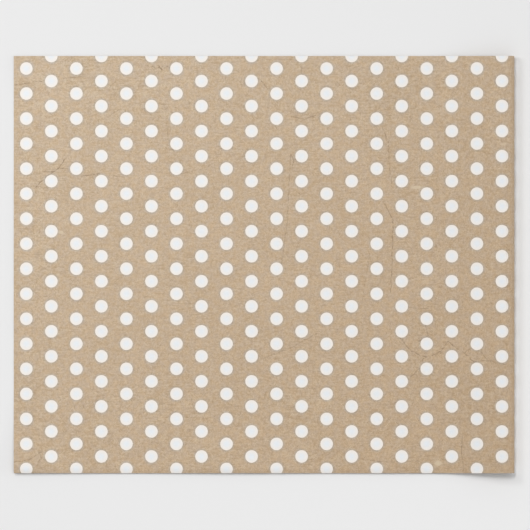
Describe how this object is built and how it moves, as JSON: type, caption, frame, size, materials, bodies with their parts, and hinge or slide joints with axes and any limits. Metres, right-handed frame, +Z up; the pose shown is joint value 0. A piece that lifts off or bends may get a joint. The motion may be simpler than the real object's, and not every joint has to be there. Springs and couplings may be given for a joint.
{
  "type": "wrapping paper roll",
  "caption": "Roll of dotted kraft gift wrap on a board core, with a length of the paper pulled out flat on the table and rising in a low curve to the roll.",
  "frame": {"origin": "on the table, under the middle of the pulled-out length as it shows from above", "axes": "+X from the paper's free end to the roll, +Y along the roll, +Z up off the table"},
  "size_m": [0.9144, 0.762, 0.0291],
  "materials": {
    "kraft_paper": "uncoated kraft with a matt white dot print",
    "core_board": "plain grey-brown tube board",
    "tape": "matt clear film"
  },
  "bodies": {
    "sheet": {"unrolled_sheet": "kraft_paper"},
    "lift": {"lifted_web": "kraft_paper"},
    "roll": {"wound_paper": "kraft_paper", "core_inner_ply": "core_board", "core_middle_ply": "core_board", "core_outer_ply": "core_board", "starting_tape": "tape"}
  },
  "joints": [
    {"name": "wind_up", "type": "slide", "parent": "sheet", "child": "lift", "axis": [-1, 0, 0], "range_m": [0, 0.64008], "deforming": ["unrolled_sheet"]},
    {"name": "roll_spin", "type": "hinge", "parent": "lift", "child": "roll", "pos_m": [0.44265, 0, 0.01455], "axis": [0, 1, 0], "range_deg": [0, 2520]}
  ],
  "couplings": [
    {"joint": "roll_spin", "follows": "wind_up", "rad_per_m": 68.714}
  ]
}
